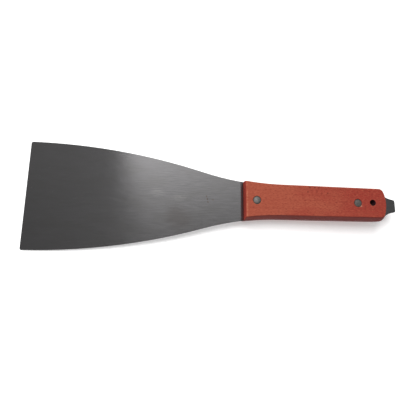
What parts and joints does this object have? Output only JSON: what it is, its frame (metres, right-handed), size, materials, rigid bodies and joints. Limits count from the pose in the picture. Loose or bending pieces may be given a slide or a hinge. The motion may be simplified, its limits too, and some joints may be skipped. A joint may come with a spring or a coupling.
{
  "type": "flexible putty knife",
  "caption": "Flexible putty knife with a flared spring-steel blade, a full tang ending in a flat screwdriver tail, and a riveted wooden handle with a hanging hole.",
  "frame": {"origin": "middle of the overall length and width, on the flat underside of the handle", "axes": "+X along the tool from the scraping edge to the screwdriver tail, +Y across the blade's width, +Z out of the handle's upper face"},
  "size_m": [0.3158, 0.091, 0.0225],
  "materials": {
    "blade_steel": "ground and brushed lengthways, satin",
    "handle_wood": "red-orange stained beech, satin lacquer",
    "rivet_steel": "plain steel, dull"
  },
  "bodies": {
    "root": {"blade": "blade_steel", "upper_scale": "handle_wood", "lower_scale": "handle_wood", "front_rivet_female": "rivet_steel", "front_rivet_male": "rivet_steel", "rear_rivet_female": "rivet_steel", "rear_rivet_male": "rivet_steel"}
  },
  "joints": []
}
